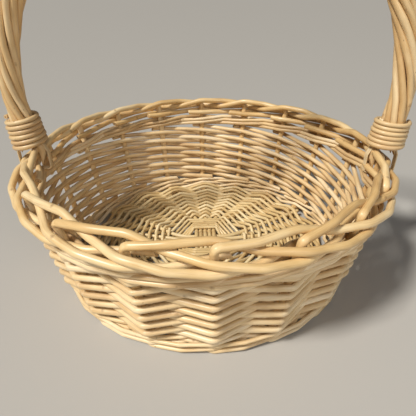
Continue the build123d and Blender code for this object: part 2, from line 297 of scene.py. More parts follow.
def with_knots(radius, travelled, turns, spots):
    """The radius with a bud and a slight ring at each spot, and how near each bud is."""
    knot = np.zeros_like(radius)
    for place, turn, size in spots:
        along = (travelled - place) / KNOT_LENGTH
        around = (turns - turn + math.pi) % math.tau - math.pi
        bump = np.exp(-(along**2))[:, None] * np.exp(-((around / KNOT_BREADTH) ** 2))[None, :]
        radius += size * bump
        radius *= 1 + KNOT_RING * np.exp(-((along / 2.2) ** 2))[:, None]
        knot = np.maximum(knot, bump)
    return radius, knot


def with_chamfers(rings, grain, look, tangents):
    """Adds a slightly smaller ring at each end, so that a cut end has a worn edge."""
    ends = []
    for ring, sign in ((0, -1), (-1, 1)):
        centre = rings[ring].mean(axis=0)
        ends.append(centre + (rings[ring] - centre) * 0.9 + tangents[ring] * EDGE_WEAR * sign)
    rings = np.concatenate((ends[0][None], rings, ends[1][None]))
    grain = np.concatenate((grain[:1], grain, grain[-1:]))
    look = np.concatenate((look[:1], look, look[-1:]))
    return rings, grain, look


class Rods:
    """Rods gathered into one mesh. Beside its shape each point keeps where it lies in the
    grain (across, across, along) and the look of the rod there (tone, bend, knot)."""

    def __init__(self):
        self.points = []
        self.faces = []
        self.is_cut = []
        self.grain = []
        self.look = []

    def add_rings(self, rings, grain, look):
        """Skin between rings of points, closed at both ends by cut faces."""
        count, sides, _ = rings.shape
        first = len(self.points)
        self.points.extend(rings.reshape(-1, 3).tolist())
        self.grain.extend(grain.reshape(-1, 3).tolist())
        self.look.extend(look.reshape(-1, 3).tolist())
        for ring in range(count - 1):
            low = first + ring * sides
            for side in range(sides):
                beside = (side + 1) % sides
                self.faces.append(
                    (low + side, low + beside, low + sides + beside, low + sides + side)
                )
                self.is_cut.append(False)
        for ring, outward in ((0, False), (count - 1, True)):
            middle = len(self.points)
            self.points.append(rings[ring].mean(axis=0).tolist())
            self.grain.append([0.0, 0.0, float(grain[ring, 0, 2])])
            self.look.append(look[ring].mean(axis=0).tolist())
            low = first + ring * sides
            for side in range(sides):
                edge = (low + side, low + (side + 1) % sides)
                self.faces.append((*edge, middle) if outward else (edge[1], edge[0], middle))
                self.is_cut.append(True)

    def add_rod(
        self, line, butt, tip, sides=12, tone=None, slant=(0.0, 0.0), facing=None, joined=None
    ):
        """A round rod that tapers from its butt at the start of the line to its tip. Slant
        is how far each end is cut on the skew, in thicknesses, and facing is the way that
        the two cuts look. A long rod is joined from lengths that differ in tone."""
        travelled = distances(line)
        length = travelled[-1]
        tangents, across, beside = directions(line)
        tone = chance.random() if tone is None else tone
        offset = chance.uniform(0, GRAIN_SPREAD)
        thick = varied(butt + (tip - butt) * travelled / length, travelled)
        bend, towards = bending(tangents, travelled, thick)
        turns = np.arange(sides) / sides * math.tau
        oval_turn = chance.uniform(0, math.tau)
        radius = np.repeat(thick[:, None] / 2, sides, axis=1)
        radius *= 1 + OVAL * np.cos(2 * turns + oval_turn)[None, :]
        radius, knot = with_knots(radius, travelled, turns, knot_spots(length))
        out = (
            across[:, None, :] * np.cos(turns)[None, :, None]
            + beside[:, None, :] * np.sin(turns)[None, :, None]
        )
        inward = (out * towards[:, None, :]).sum(axis=2)
        radius = crushed(radius, bend, inward)
        rings = line[:, None, :] + out * radius[:, :, None]
        for ring, left, depth in (
            (0, travelled, slant[0] * butt),
            (-1, length - travelled, -slant[1] * tip),
        ):
            cut_turn = oval_turn
            if facing is not None:
                way = facing[ring]
                cut_turn = math.atan2(way @ beside[ring], way @ across[ring])
            lean = (1 + np.cos(turns - cut_turn)) / 2
            share = np.clip(1 - left / max(CUT_REACH * abs(depth), 1e-6), 0, 1)
            back = share[:, None] * lean[None, :] * depth
            rings += tangents[:, None, :] * back[:, :, None]
        grain = np.zeros_like(rings)
        grain[:, :, 0] = np.cos(turns)[None, :] * thick[:, None] / 2
        grain[:, :, 1] = np.sin(turns)[None, :] * thick[:, None] / 2
        grain[:, :, 2] = travelled[:, None] + offset
        look = np.zeros_like(rings)
        look[:, :, 0] = tone
        if joined:
            tones = np.array([chance.random() for _ in range(int(length / joined) + 1)])
            look[:, :, 0] = tones[(travelled / joined).astype(int)][:, None]
        look[:, :, 1] = bend[:, None]
        look[:, :, 2] = knot
        self.add_rings(*with_chamfers(rings, grain, look, tangents))

    def make(self, name, nodes, slot):
        """The finished piece, which stands for these nodes of the frame."""
        mesh = bpy.data.meshes.new(name)
        mesh.from_pydata(self.points, [], self.faces)
        for label, values in (("grain", self.grain), ("look", self.look)):
            attribute = mesh.attributes.new(label, "FLOAT_VECTOR", "POINT")
            attribute.data.foreach_set("vector", np.array(values, np.float32).ravel())
        is_cut = np.array(self.is_cut)
        mesh.polygons.foreach_set("use_smooth", ~is_cut)
        mesh.polygons.foreach_set("material_index", is_cut.astype(np.int32))
        mesh.materials.append(materials[slot])
        mesh.materials.append(materials["cut_end"])
        mesh.update()
        piece = bpy.data.objects.new(name, mesh)
        bpy.context.scene.collection.objects.link(piece)
        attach(piece, "root")
        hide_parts(*nodes)
        return piece


# ---------------------------------------------------------------- materials

CREAM = (0.90, 0.72, 0.43)
HONEY = (0.73, 0.49, 0.21)
TAN = (0.44, 0.24, 0.08)
SPECK_BROWN = (0.16, 0.07, 0.02)
BUD_BROWN = (0.20, 0.085, 0.03)
CUT_WOOD = (0.62, 0.42, 0.20)
BUMP_DEPTH = 0.0004

# Each willow's pale, middle and dark tones, and how rough it is
WILLOWS = {
    "stake_willow": (CREAM, HONEY, TAN, 0.34),
    "weaver_willow": ((0.92, 0.77, 0.53), (0.77, 0.56, 0.29), TAN, 0.36),
    "base_willow": ((0.88, 0.74, 0.46), (0.68, 0.49, 0.22), (0.42, 0.25, 0.09), 0.42),
    "handle_willow": ((0.86, 0.67, 0.40), (0.68, 0.45, 0.20), TAN, 0.36),
    "core_willow": ((0.46, 0.22, 0.09), (0.30, 0.11, 0.045), (0.14, 0.05, 0.02), 0.5),
    "split_willow": ((0.88, 0.74, 0.50), (0.74, 0.54, 0.28), (0.50, 0.28, 0.11), 0.36),
}


def ramp(nodes, stops):
    """A colour ramp with these places and colours."""
    node = nodes.new("ShaderNodeValToRGB")
    elements = node.color_ramp.elements
    while len(elements) < len(stops):
        elements.new(0.5)
    for element, (place, colour) in zip(elements, stops):
        element.position = place
        element.color = (*colour, 1.0)
    return node


def noise(nodes, links, place, stretch, scale, detail=3.0, roughness=0.55):
    """Noise over the grain's own coordinates, with this stretch across, across and along."""
    mapping = nodes.new("ShaderNodeMapping")
    mapping.inputs["Scale"].default_value = stretch
    links.new(place, mapping.inputs["Vector"])
    texture = nodes.new("ShaderNodeTexNoise")
    texture.inputs["Scale"].default_value = scale
    texture.inputs["Detail"].default_value = detail
    texture.inputs["Roughness"].default_value = roughness
    links.new(mapping.outputs["Vector"], texture.inputs["Vector"])
    return texture.outputs["Fac"]


def remap(nodes, links, value, low, high, to_low, to_high):
    node = nodes.new("ShaderNodeMapRange")
    for socket, number in (
        ("From Min", low),
        ("From Max", high),
        ("To Min", to_low),
        ("To Max", to_high),
    ):
        node.inputs[socket].default_value = number
    links.new(value, node.inputs["Value"])
    return node.outputs["Result"]


def combine(nodes, links, operation, first, second):
    node = nodes.new("ShaderNodeMath")
    node.operation = operation
    for socket, value in zip(node.inputs, (first, second)):
        if isinstance(value, (int, float)):
            socket.default_value = value
        else:
            links.new(value, socket)
    return node.outputs["Value"]


def mix(nodes, links, share, first, second):
    """This share of the second colour over the first."""
    node = nodes.new("ShaderNodeMix")
    node.data_type = "RGBA"
    for place, value in ((0, share), (6, first), (7, second)):
        socket = node.inputs[place]
        if isinstance(value, (int, float)):
            socket.default_value = value
        elif isinstance(value, tuple):
            socket.default_value = (*value, 1.0)
        else:
            links.new(value, socket)
    return node.outputs[2]


def add_bump(nodes, links, shader, height, strength):
    bump = nodes.new("ShaderNodeBump")
    bump.inputs["Strength"].default_value = strength
    bump.inputs["Distance"].default_value = BUMP_DEPTH
    links.new(height, bump.inputs["Height"])
    links.new(bump.outputs["Normal"], shader.inputs["Normal"])


def attribute(nodes, name):
    node = nodes.new("ShaderNodeAttribute")
    node.attribute_name = name
    return node.outputs["Vector"]


def new_material(name, colour):
    material = bpy.data.materials.new(name)
    material.use_nodes = True
    material.diffuse_color = (*colour, 1.0)
    shader = material.node_tree.nodes["Principled BSDF"]
    return material, material.node_tree.nodes, material.node_tree.links, shader


def peeled_willow(name, pale, honey, tan, roughness):
    """Smooth peeled willow: fine fibres, cloudy tone, specks, brown buds and pale bends."""
    material, nodes, links, shader = new_material(name, honey)
    place = attribute(nodes, "grain")
    look = nodes.new("ShaderNodeSeparateXYZ")
    links.new(attribute(nodes, "look"), look.inputs[0])
    tone, bend, knot = look.outputs

    # The grain: clouds, streaks and fibres, each finer than the last
    clouds = noise(nodes, links, place, (0.5, 0.5, 0.22), 95, detail=3)
    streaks = noise(nodes, links, place, (1.0, 1.0, 0.035), 1100, detail=4)
    fibres = noise(nodes, links, place, (1.0, 1.0, 0.016), 3400, detail=2)

    # Specks: a dot in some of the cells
    speck_map = nodes.new("ShaderNodeMapping")
    speck_map.inputs["Scale"].default_value = (1.0, 1.0, 0.55)
    links.new(place, speck_map.inputs["Vector"])
    specks = nodes.new("ShaderNodeTexVoronoi")
    specks.inputs["Scale"].default_value = 190
    links.new(speck_map.outputs["Vector"], specks.inputs["Vector"])
    cell = nodes.new("ShaderNodeSeparateColor")
    links.new(specks.outputs["Color"], cell.inputs[0])
    dot_size = remap(nodes, links, cell.outputs[0], 0.72, 1.0, 0.0, 0.16)
    inside = combine(nodes, links, "SUBTRACT", dot_size, specks.outputs["Distance"])
    dots = remap(nodes, links, inside, 0.0, 0.05, 0.0, 1.0)

    # The colour
    shade = combine(nodes, links, "MULTIPLY", tone, 0.55)
    shade = combine(nodes, links, "ADD", shade, remap(nodes, links, clouds, 0.3, 0.72, -0.12, 0.5))
    body = ramp(nodes, ((0.0, pale), (0.5, honey), (1.0, tan)))
    links.new(shade, body.inputs["Fac"])
    streak_share = remap(nodes, links, streaks, 0.5, 0.75, 0.0, 0.55)
    colour = mix(nodes, links, streak_share, body.outputs["Color"], tan)
    fibre_share = remap(nodes, links, fibres, 0.35, 0.65, 0.0, 0.22)
    colour = mix(nodes, links, fibre_share, colour, pale)
    bend_share = remap(nodes, links, bend, 0.3, 0.9, 0.0, 0.22)
    colour = mix(nodes, links, bend_share, colour, pale)
    speck_share = combine(nodes, links, "MULTIPLY", dots, 0.55)
    colour = mix(nodes, links, speck_share, colour, SPECK_BROWN)
    bud_share = remap(nodes, links, knot, 0.45, 0.95, 0.0, 0.6)
    colour = mix(nodes, links, bud_share, colour, BUD_BROWN)
    links.new(colour, shader.inputs["Base Color"])

    # The sheen
    rough = remap(nodes, links, clouds, 0.3, 0.7, roughness, roughness + 0.16)
    rough = combine(nodes, links, "ADD", rough, remap(nodes, links, streaks, 0.4, 0.8, 0.0, 0.14))
    links.new(rough, shader.inputs["Roughness"])
    shader.inputs["Specular IOR Level"].default_value = 0.5
    shader.inputs["Coat Weight"].default_value = 0.25
    shader.inputs["Coat Roughness"].default_value = 0.22

    # The fibres' relief, with the specks as pits
    ridges = combine(nodes, links, "MULTIPLY", streaks, 0.7)
    hairs = combine(nodes, links, "MULTIPLY", fibres, 0.3)
    pits = combine(nodes, links, "MULTIPLY", dots, 0.5)
    relief = combine(nodes, links, "ADD", ridges, hairs)
    relief = combine(nodes, links, "SUBTRACT", relief, pits)
    add_bump(nodes, links, shader, relief, 0.35)
    return material


def cut_willow():
    """The cut end of a rod: pale rings, a soft brown pith and a darker rim."""
    material, nodes, links, shader = new_material("cut_end", CUT_WOOD)
    place = attribute(nodes, "grain")
    parts = nodes.new("ShaderNodeSeparateXYZ")
    links.new(place, parts.inputs[0])
    flat = nodes.new("ShaderNodeCombineXYZ")
    links.new(parts.outputs[0], flat.inputs[0])
    links.new(parts.outputs[1], flat.inputs[1])
    middle = nodes.new("ShaderNodeVectorMath")
    middle.operation = "LENGTH"
    links.new(flat.outputs[0], middle.inputs[0])
    reach = middle.outputs["Value"]
    grit = noise(nodes, links, place, (1.0, 1.0, 1.0), 2200, detail=4)
    stray = remap(nodes, links, grit, 0.3, 0.7, -0.00025, 0.00025)
    away = combine(nodes, links, "ADD", reach, stray)
    body = ramp(
        nodes,
        (
            (0.0, (0.20, 0.10, 0.04)),
            (0.22, (0.30, 0.16, 0.07)),
            (0.34, (0.72, 0.52, 0.28)),
            (0.8, (0.60, 0.39, 0.17)),
            (1.0, (0.36, 0.19, 0.07)),
        ),
    )
    links.new(remap(nodes, links, away, 0.0, 0.0034, 0.0, 1.0), body.inputs["Fac"])
    links.new(body.outputs["Color"], shader.inputs["Base Color"])
    links.new(remap(nodes, links, grit, 0.3, 0.7, 0.6, 0.85), shader.inputs["Roughness"])
    add_bump(nodes, links, shader, grit, 0.5)
    return material


materials = {name: peeled_willow(name, *tones) for name, tones in WILLOWS.items()}
materials["cut_end"] = cut_willow()


# ---------------------------------------------------------------- base

STICK_PITCH = STICK + STICK_GAP
FAN_START = 0.032
STICK_END = BASE_RADIUS - 0.011
TAIL_START = BASE_RADIUS - 0.026
STICK_LAG = math.asin(((STAKE + STICK) / 2 + 0.002) / TAIL_START)
PIERCED = 5
THREADED = STAKE_COUNT // 2 - PIERCED
BASE_PITCH = BASE_ROD + BASE_ROW_GAP
TIE_START = 0.0215
TIE_QUARTERS = 20
TIE_CORNER = 0.0033
WEAVE_START = 0.049
WEAVE_END = BASE_RADIUS - 0.0122
WEAVE_STRAY = 0.0006
JOIN_LENGTH = 0.31
FAN_BEND = 0.05
SLIT_HALF = 0.0185  # half the length over which a pierced stick swells round its slit
SLIT_SWELL = 0.0032
SLIT_GAP = 0.00015
SLIT_ROOM = 0.0015
LEAST_WALL = 0.0006
SLIT_RINGS = 17


def stick_offsets(count):
    return [(index - (count - 1) / 2) * STICK_PITCH for index in range(count)]


def stick_ends(direction, count):
    """The sticks of one bundle that leave the middle in this direction: fan and end points."""
    ends = []
    along = polar(direction, 1, 0)
    across = polar(direction + math.pi / 2, 1, 0)
    for index, offset in enumerate(stick_offsets(count)):
        fan = along * FAN_START + across * offset
        fan[2] = BASE_PLANE
        angle = direction - STICK_LAG + (index - (count - 1) / 2) * STAKE_STEP
        ends.append((fan, polar(angle, STICK_END, BASE_PLANE)))
    return ends


def rays():
    """Every stick end of the base, in order round it."""
    found = []
    for quarter in range(4):
        count = THREADED if quarter % 2 == 0 else PIERCED
        found.extend(stick_ends(quarter * math.pi / 2, count))
    return found


def ray_angle(ray, radius):
    """The angle at which a stick crosses a circle of this radius."""
    fan, end = ray
    run = end - fan
    a = run[0] ** 2 + run[1] ** 2
    b = fan[0] * run[0] + fan[1] * run[1]
    c = fan[0] ** 2 + fan[1] ** 2 - radius**2
    crossing = fan + run * (-b + math.sqrt(b * b - a * c)) / a
    return math.atan2(crossing[1], crossing[0])


def half_moon(side, width, inner, outer, sides=12):
    """Cross-section of half a slit stick: flat towards the slit, round on the outside."""
    shape = []
    for step in range(sides // 2 + 1):
        turn = math.pi * step / (sides // 2)
        rise = inner + (outer - inner) * math.sin(turn)
        shape.append((width / 2 * math.cos(turn), side * rise))
    for step in range(1, sides // 2):
        share = 1 - 2 * step / (sides // 2)
        shape.append((-width / 2 * share, side * inner))
    return shape if side > 0 else shape[::-1]


def build_pierced_sticks():
    """The slit sticks: two plain ends each, and between them two halves round the slit."""
    back = stick_ends(math.pi / 2, PIERCED)
    front = stick_ends(-math.pi / 2, PIERCED)
    slit = STICK / 2 + SLIT_GAP
    slit_reach = THREADED * STICK_PITCH / 2 + SLIT_ROOM
    sticks = Rods()
    for index, offset in enumerate(stick_offsets(PIERCED)):
        tone = chance.random()
        for fan, end in (back[PIERCED - 1 - index], front[index]):
            inner = np.array((offset, math.copysign(slit_reach, fan[1]), BASE_PLANE))
            line = rounded_line([inner, fan, end], [FAN_BEND])
            line = wander(line, PIERCED_STRAY)
            sticks.add_rod(line, STICK * 1.04, STICK * 0.93, tone=tone)
        for side in (1, -1):
            rings, grain, look = [], [], []
            for step in range(SLIT_RINGS):
                share = step / (SLIT_RINGS // 2) - 1
                y = share * SLIT_HALF
                swell = math.sqrt(max(0.0, 1 - share**2))
                outer = STICK / 2 * 0.9 + SLIT_SWELL * swell
                inner = slit if abs(y) < slit_reach else slit * 0.2
                inner = min(inner, outer - LEAST_WALL)
                shape = half_moon(side, STICK * (0.96 + 0.04 * swell), inner, outer)
                rings.append([(offset + x, y, BASE_PLANE + z) for x, z in shape])
                grain.append([(x, z, y + index) for x, z in shape])
                look.append([(tone, 0.1, 0.0)] * len(shape))
            sticks.add_rings(np.array(rings)[::-1], np.array(grain)[::-1], np.array(look)[::-1])
    sticks.make("base_sticks_pierced", ["base_pierced_sticks"], "base_willow")


def build_threaded_sticks():
    right = stick_ends(0, THREADED)
    left = stick_ends(math.pi, THREADED)
    sticks = Rods()
    for index in range(THREADED):
        right_fan, right_end = right[index]
        left_fan, left_end = left[THREADED - 1 - index]
        line = rounded_line([right_end, right_fan, left_fan, left_end], [FAN_BEND] * 2)
        sticks.add_rod(wander(line, THREADED_STRAY), STICK, STICK * 0.94)
    sticks.make("base_sticks_threaded", ["base_threaded_sticks"], "base_willow")


def build_slath_tie():
    """The rod that binds the crossed sticks, over one pair of bundles and under the other."""
    lift = (STICK + BASE_ROD) / 2 + 0.0002
    corners = []
    for quarter in range(TIE_QUARTERS):
        direction = quarter * math.pi / 2
        over = quarter % 2 == 1
        count = PIERCED if over else THREADED
        distance = TIE_START + quarter * BASE_PITCH / 4
        fan, end = stick_ends(direction, count)[-1]
        across = polar(direction + math.pi / 2, 1, 0)
        run = end - fan
        spread = (run @ across) / (run @ polar(direction, 1, 0))
        reach = stick_offsets(count)[-1] + max(0.0, distance - FAN_START) * spread + TIE_CORNER
        height = BASE_PLANE + (lift if over else -lift)
        for side in (-reach, reach):
            corners.append(polar(direction, distance, height) + across * side)
    line = rounded_line(corners, [TIE_CORNER] * (len(corners) - 2), step=FINE_STEP)
    tie = Rods()
    tie.add_rod(line, BASE_ROD, BASE_ROD * 0.86, sides=10)
    tie.make("base_tie", ["base_slath_tie"], "base_willow")


def build_base_weaver(number, first_ray):
    """One of the two rods woven round the base, each over the sticks that the other passes
    under. Near the edge it takes in the stakes' tails beside the sticks."""
    sticks = rays()
    clear = (STICK + BASE_ROD) / 2 + 0.0001
    clear_stake = (STAKE + BASE_ROD) / 2 + 0.0003
    steps = int((WEAVE_END - WEAVE_START) / (2 * BASE_PITCH) * STAKE_COUNT)
    corners = []
    for step in range(steps):
        radius = WEAVE_START + 2 * BASE_PITCH * step / STAKE_COUNT
        ray = (first_ray + step) % STAKE_COUNT
        side = 1 if step % 2 == 0 else -1
        here, before, after = (
            ray_angle(sticks[(ray + shift) % STAKE_COUNT], radius) for shift in (0, -1, 1)
        )
        spacing = radius * min((here - before) % math.tau, (after - here) % math.tau)
        lift = clear * spacing / math.sqrt(spacing**2 - 4 * clear**2)
        radius += chance.uniform(-WEAVE_STRAY, WEAVE_STRAY)
        if radius > TAIL_START - BASE_ROD:
            stake = FIRST_STAKE + STAKE_STEP * (ray - 2)
            corners.append(polar(here, radius, BASE_PLANE + side * clear_stake))
            corners.append(polar(stake, radius, BASE_PLANE + side * clear_stake))
        else:
            corners.append(polar(here, radius, BASE_PLANE + side * lift))
    line = rounded_line(corners, [clear] * (len(corners) - 2), step=BASE_LINE_STEP)
    weaver = Rods()
    thin, thick = 0.92 * BASE_ROD_SHOWN, 1.04 * BASE_ROD_SHOWN
    weaver.add_rod(line, thin, thick, sides=10, joined=JOIN_LENGTH)
    weaver.make(f"base_round_{number}", [f"base_weaver_{number}"], "base_willow")


# ---------------------------------------------------------------- side

SIDE_START = 0.0234
UPPER_CENTRE = BORDER_BOTTOM - STRAND_THICKNESS - STRAND_ROOM - 1.1 * UPPER_ROD
UPPER_LIFT = 0.56 * UPPER_ROD
SIDE_TOP = UPPER_CENTRE - UPPER_LIFT - (SIDE_ROD + UPPER_ROD) / 2 - 0.0003
SIDE_ROWS = int((SIDE_TOP - SIDE_START) / (SIDE_ROD + ROW_GAP))
ROW_PITCH = (SIDE_TOP - SIDE_START) / SIDE_ROWS
STAKE_BEND = 0.0085
TALL_STAKE = round((1.5 * math.pi - FIRST_STAKE) / STAKE_STEP)  # the front one kinks higher
TALL_RISE = 0.6 * LANE
OUTSIDE_DROP = 0.004  # how far a side rod sags where it passes outside a stake
INSIDE_BEND = 0.060
KINK_BEND = 0.0036
BORDER_BEND = 0.030
BORDER_STRAY = 0.0004
STAKE_DRIFT = 0.012  # in radians round the basket
END_DRIFT = (-0.03, 0.05)  # the same for a stake's cut end in the border
ROW_STRAY = 0.0003
INSIDE_GAP = 0.0003
OUTSIDE_GAP = 0.0015

stake_drift = [chance.uniform(-STAKE_DRIFT, STAKE_DRIFT) for _ in stake_names]


def stake_turn(place):
    """The angle of a place along the rim, in stakes. Each stake stands a little off its mark."""
    low = math.floor(place)
    share = place - low
    drift = (
        stake_drift[low % STAKE_COUNT] * (1 - share)
        + stake_drift[(low + 1) % STAKE_COUNT] * share
    )
    return FIRST_STAKE + STAKE_STEP * place + drift


def stake_reach(height):
    """How far from the axis the stakes stand at this height."""
    flare = (BORDER_RADIUS - BASE_RADIUS) / (BORDER_AXIS - BASE_PLANE)
    return BASE_RADIUS + flare * (height - BASE_PLANE)


def build_stake(name, number):
    """A stake from its tail in the base, up the side, and along the rim in the border."""
    corners = [
        polar(stake_turn(number), TAIL_START, BASE_PLANE),
        polar(stake_turn(number), BASE_RADIUS, BASE_PLANE),
    ]
    out_shift = chance.uniform(-BORDER_STRAY, BORDER_STRAY)
    for passed, out, up in BORDER_LANES:
        lanes = BORDER_RADIUS + out * LANE + out_shift
        height = BORDER_AXIS + up * LANE + chance.uniform(-BORDER_STRAY, BORDER_STRAY)
        if passed == 0 and number == TALL_STAKE:
            height += TALL_RISE
        turn = stake_turn(number + passed)
        if passed == BORDER_LANES[-1][0]:
            turn += chance.uniform(*END_DRIFT)
        corners.append(polar(turn, lanes, height))
    bends = [STAKE_BEND, KINK_BEND] + [BORDER_BEND] * (len(BORDER_LANES) - 2)
    line = rounded_line(corners, bends, step=STAKE_LINE_STEP)
    stake = Rods()
    slant = (0.1, chance.uniform(0.1, 0.7))
    stake.add_rod(wander(line, STAKE_STRAY), STAKE * 1.05, STAKE * 0.93, sides=16, slant=slant)
    stake.make(f"upright_{number + 1:02d}", [name], "stake_willow")


def build_side_weaver(name, number):
    """A side rod, which climbs one row at each stake: inside one stake, outside the next."""
    clear = (STAKE + SIDE_ROD) / 2
    corners = []
    bends = []
    for row in range(-1, SIDE_ROWS + 2):
        inside = row % 2 == 0
        height = SIDE_START + ROW_PITCH * row + chance.uniform(-ROW_STRAY, ROW_STRAY)
        if row > 0 and not inside:
            height -= OUTSIDE_DROP
        reach = stake_reach(height) + (-clear - INSIDE_GAP if inside else clear + OUTSIDE_GAP)
        corners.append(polar(stake_turn(number + row), reach, height))
        bends.append(INSIDE_BEND if inside else KINK_BEND)
    # Both ends stop a little past the stake that holds them.
    corners[0] = corners[1] + (corners[0] - corners[1]) * chance.uniform(0.24, 0.36)
    corners[-1] = corners[-2] + (corners[-1] - corners[-2]) * 0.25
    line = rounded_line(corners, bends[1:-1])
    weaver = Rods()
    slant = (chance.uniform(0.2, 0.9), 0.5)
    butt, tip = 1.04 * SIDE_ROD_SHOWN, 0.95 * SIDE_ROD_SHOWN
    weaver.add_rod(wander(line, SIDE_STRAY), butt, tip, slant=slant)
    weaver.make(f"side_rod_{number + 1:02d}", [name], "weaver_willow")


def build_wale(label, node, number, laps, bend, thickness):
    """One of the three rods of a wale, which goes round the basket once for each lap."""
    corners = []
    for strokes in laps:
        for stake in range(0, STAKE_COUNT, WALE_RODS):
            for passed, radius, height in strokes:
                corners.append(polar(stake_turn(number + stake + passed), radius, height))
    line = rounded_line(corners, [bend] * (len(corners) - 2))
    rod = Rods()
    butt, tip = 1.05 * thickness, 0.92 * thickness
    rod.add_rod(wander(line, WALE_STRAY), butt, tip, slant=(0.8, 0.8))
    rod.make(f"{label}_{number + 1}", [f"{node}_{number + 1}"], "weaver_willow")


WALE_RODS = 3
FOOT_BEND = 0.010
UPPER_BEND = 0.020
UPPER_LAP_SHIFT = 0.0024

# A foot rod's stroke, outside two stakes and inside the third, on its first lap and on its
# second: stakes passed, out from the base's edge, and height.
FOOT_STROKES = (
    (
        (0.0, 0.0032, 0.0024),
        (0.5, 0.0044, 0.0043),
        (1.0, 0.0036, 0.0066),
        (1.5, -0.0002, 0.0098),
        (2.0, -0.0076, 0.0143),
        (2.5, -0.0080, 0.0076),
    ),
    (
        (0.0, 0.0046, 0.0106),
        (0.5, 0.0060, 0.0126),
        (1.0, 0.0064, 0.0150),
        (1.5, 0.0006, 0.0174),
        (2.0, -0.0056, 0.0186),
        (2.5, -0.0012, 0.0136),
    ),
)


# An upper rod's stroke: stakes passed, clearances out from the stakes and how much more,
# lifts up from the wale's middle and how much more.
UPPER_STROKE = (
    (0.0, 1, 0.0008, -1, -0.0022),
    (0.5, 1, 0.0018, 0, -0.0022),
    (1.0, 1, 0.0014, 1, -0.0014),
    (1.5, 0, 0.0, 1, 0.0),
    (2.0, -1, -0.0004, 0, 0.0),
    (2.5, 0, 0.0, -1, 0.0),
)


def build_wales():
    foot_laps = [
        [(passed, BASE_RADIUS + out, height) for passed, out, height in strokes]
        for strokes in FOOT_STROKES
    ]
    clear = (STAKE + UPPER_ROD) / 2 + 0.0001
    middle = stake_reach(UPPER_CENTRE)
    upper_laps = []
    for shift in (-UPPER_LAP_SHIFT, UPPER_LAP_SHIFT):
        strokes = []
        for passed, clears, more_out, lifts, more_up in UPPER_STROKE:
            radius = middle + clears * clear + more_out
            height = UPPER_CENTRE + lifts * UPPER_LIFT + more_up + shift
            strokes.append((passed, radius, height))
        upper_laps.append(strokes)
    for number in range(WALE_RODS):
        build_wale("foot_rod", "foot_wale_rod", number, foot_laps, FOOT_BEND, FOOT_ROD_SHOWN)
        build_wale(
            "upper_rod", "upper_wale_rod", number, upper_laps, UPPER_BEND, UPPER_ROD_SHOWN
        )


# ---------------------------------------------------------------- handle

ROPE_COUNT = len(rope_names)
ROPE_RING = ROPE_ROD_SHOWN / 2 / math.sin(math.pi / ROPE_COUNT)
CORE_GAP = 0.0007
CORE = 2 * (ROPE_RING - ROPE_ROD / 2 - CORE_GAP)
ROPE_RADIUS = ROPE_RING + ROPE_ROD / 2
ROPE_EIGHTH_TURNS = -24  # how far the rope twists from the right foot to the left
HANDLE_FOOT = RIM_TOP + 0.0006
HANDLE_LEAN = 0.005
HANDLE_SKEW = 0.026  # how far the right foot stands forward of the left one
HANDLE_STEPS = 6  # of each straight leg
ARCH_STEPS = 48
CORE_BEND = 0.1
ROPE_BEND = 0.045
ROPE_SWAY = 0.06  # in radians round the hoop's middle line
ROPE_LIFT = 0.0003
LASHING_RING = ROPE_RADIUS + STRAND_GAP + STRAND_THICKNESS / 2
BINDING_RING = LASHING_RING + (STRAND_THICKNESS + BINDING_ROD) / 2 + STRAND_GAP
BINDING_PITCH = BINDING_ROD + ROW_GAP
BINDING_TURNS = 6
BINDING_STEPS = 16  # points of a coil in each turn
BINDING_BEND = 0.01
BINDING_SLACK = 0.0010  # how much wider the coil is at its lowest turn
BINDING_WOBBLE = 0.0003
# How much the coil at each foot tilts, and the pitch of its turns
COILS = {"right": (0.0004, 0.9 * BINDING_PITCH), "left": (0.0009, BINDING_PITCH)}
LASHING_BEND = 0.003
LASHING_INSET = 0.004


def handle_stations():
    """The hoop's middle line from the right foot to the left, with the way out at each."""
    shoulder_x = BORDER_RADIUS + HANDLE_LEAN
    shoulder = HANDLE_TOP - ROPE_RADIUS - shoulder_x
    lean = math.atan2(HANDLE_LEAN, shoulder - HANDLE_FOOT)
    outward = np.array((math.cos(lean), 0, -math.sin(lean)))
    foot = np.array((BORDER_RADIUS, 0, HANDLE_FOOT))
    top = np.array((shoulder_x, 0, shoulder))
    right = [
        (foot + (top - foot) * step / HANDLE_STEPS, outward) for step in range(HANDLE_STEPS)
    ]
    arch = []
    for step in range(ARCH_STEPS + 1):
        turn = math.pi * step / ARCH_STEPS
        outward = np.array((math.cos(turn), 0, math.sin(turn)))
        arch.append((outward * shoulder_x + np.array((0, 0, shoulder)), outward))
    mirror = np.array((-1, 1, 1))
    left = [(point * mirror, outward * mirror) for point, outward in reversed(right)]
    stations = []
    for point, outward in right + arch + left:
        forward = HANDLE_SKEW / 2 * (1 + point[0] / shoulder_x)
        stations.append((point - np.array((0, forward, 0)), outward))
    return stations


def handle_foot(side):
    """The foot of the hoop on this side, with its ways out and up."""
    stations = handle_stations()
    here, above = (stations[0], stations[1]) if side > 0 else (stations[-1], stations[-2])
    return here[0], here[1], unit(above[0] - here[0])


def build_core():
    points = [point for point, outward in handle_stations()]
    line = rounded_line(points, [CORE_BEND] * (len(points) - 2), step=HANDLE_LINE_STEP)
    core = Rods()
    core.add_rod(wander(line, CORE_STRAY), CORE, CORE * 0.97, sides=14)
    core.make("handle_heart", ["handle_core"], "core_willow")


def foot_corners(rope_point, outward, place):
    """How a rope rod's foot goes on below the hoop: the two that stand inside the border
    run down through it, the two outside dip into it, and the others stop on top."""
    if place in (0, ROPE_COUNT - 1):
        return [rope_point + np.array((0, 0, -LANE))]
    if place in (ROPE_COUNT // 2 - 1, ROPE_COUNT // 2):
        inner = BORDER_RADIUS - (STAKE + ROPE_ROD) / 2 - 0.6 * LANE
        side = math.copysign(inner, outward[0])
        return [
            np.array((side, rope_point[1], HANDLE_FOOT - LANE)),
            np.array((side, rope_point[1], BORDER_BOTTOM)),
        ]
    return []


